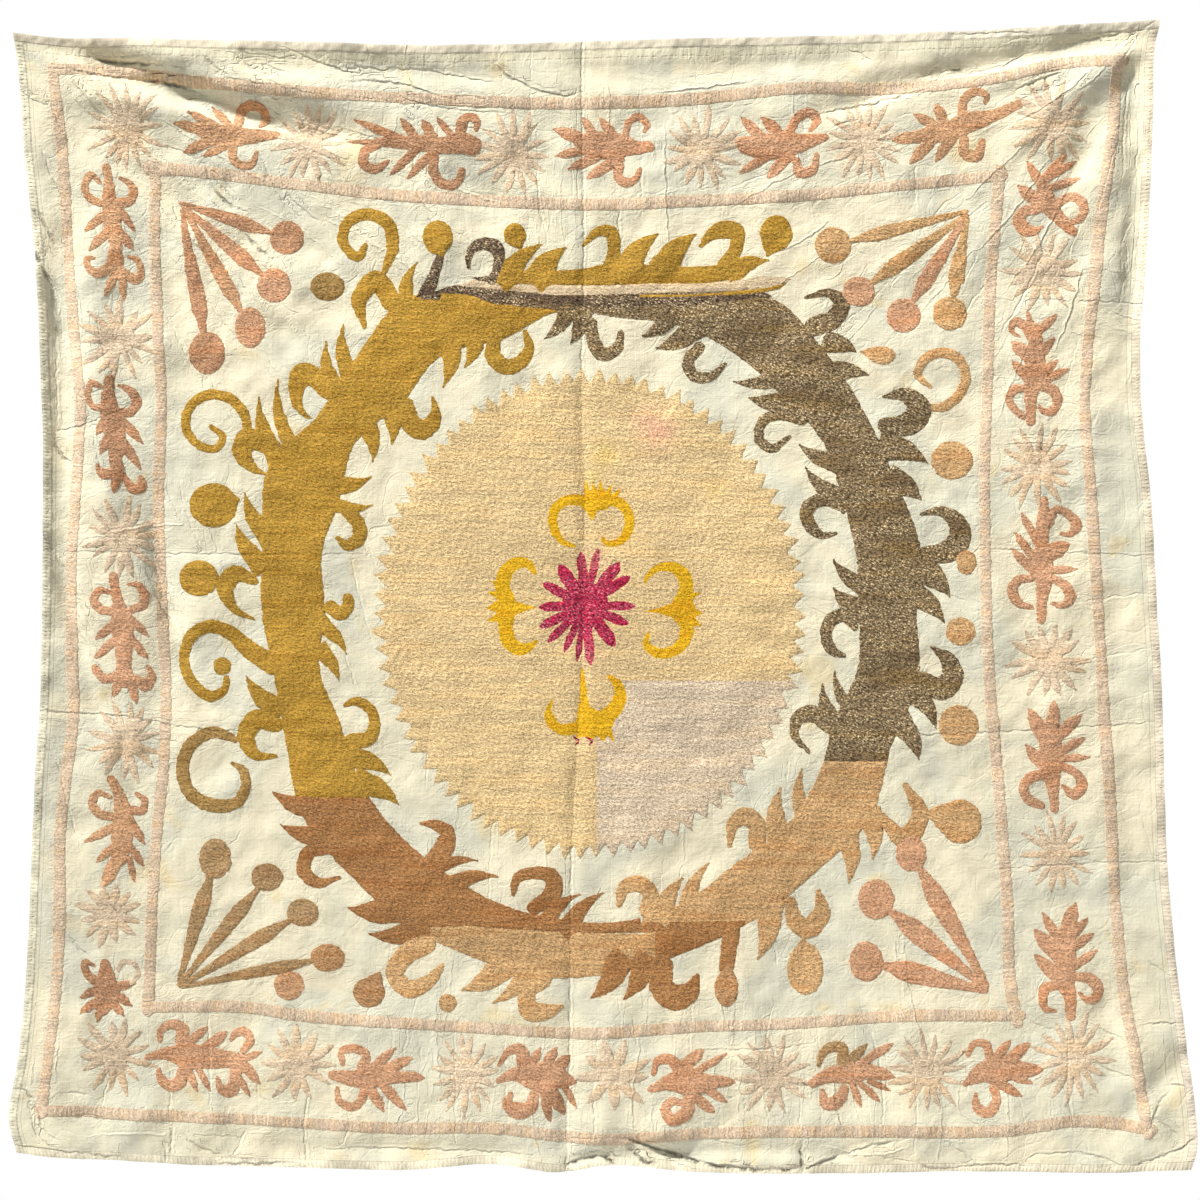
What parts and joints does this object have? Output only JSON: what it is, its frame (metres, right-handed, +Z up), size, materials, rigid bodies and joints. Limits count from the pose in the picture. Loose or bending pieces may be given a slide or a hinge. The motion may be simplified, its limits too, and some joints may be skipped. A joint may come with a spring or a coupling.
{
  "type": "suzani embroidered wall hanging",
  "caption": "Square embroidered cotton wall hanging with a toothed centre disc, a leafy ring and a floral border, hung by its top edge.",
  "frame": {"origin": "middle of the top edge, at the cloth's resting depth", "axes": "+Z up; the embroidered face looks along -Y; +X to the viewer's right"},
  "size_m": [1.9612, 0.0351, 1.9022],
  "materials": {
    "ground_cotton": "matt, plain-woven cotton",
    "edging_peach": "matt, overcast cotton thread",
    "edging_lilac": "matt, overcast cotton thread",
    "thread_disc": "satin, laid wool and cotton thread",
    "thread_gold": "satin, laid wool and cotton thread",
    "thread_olive": "satin, laid wool and cotton thread",
    "thread_rust": "satin, laid wool and cotton thread",
    "thread_salmon": "satin, laid wool and cotton thread",
    "thread_peach": "satin, laid wool and cotton thread",
    "thread_yellow": "satin, laid wool and cotton thread",
    "thread_magenta": "satin, laid wool and cotton thread"
  },
  "bodies": {
    "root": {"panel_left": "ground_cotton", "panel_right": "ground_cotton", "edging_top": "edging_peach", "edging_bottom": "edging_peach", "edging_left": "edging_lilac", "edging_right": "edging_lilac"}
  },
  "joints": []
}
